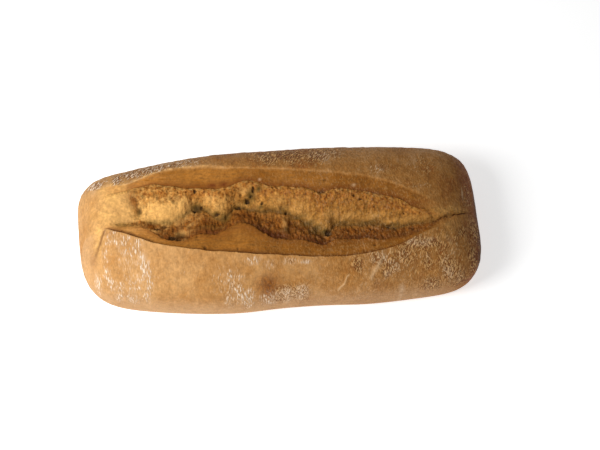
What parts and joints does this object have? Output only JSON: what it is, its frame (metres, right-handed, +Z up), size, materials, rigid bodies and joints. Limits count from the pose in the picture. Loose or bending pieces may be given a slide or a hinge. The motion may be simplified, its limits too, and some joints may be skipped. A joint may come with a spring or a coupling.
{
  "type": "ciabatta",
  "caption": "Long low ciabatta loaf with blunt rounded ends, a flat base and a wide score torn open along its crown.",
  "frame": {"origin": "on the surface that the loaf rests on, under the middle of its box", "axes": "+X along the loaf, +Y across it towards its back flank, +Z up out of its crown"},
  "size_m": [0.292, 0.1178, 0.0629],
  "materials": {
    "crust": null
  },
  "bodies": {
    "root": {"loaf": "crust"}
  },
  "joints": []
}
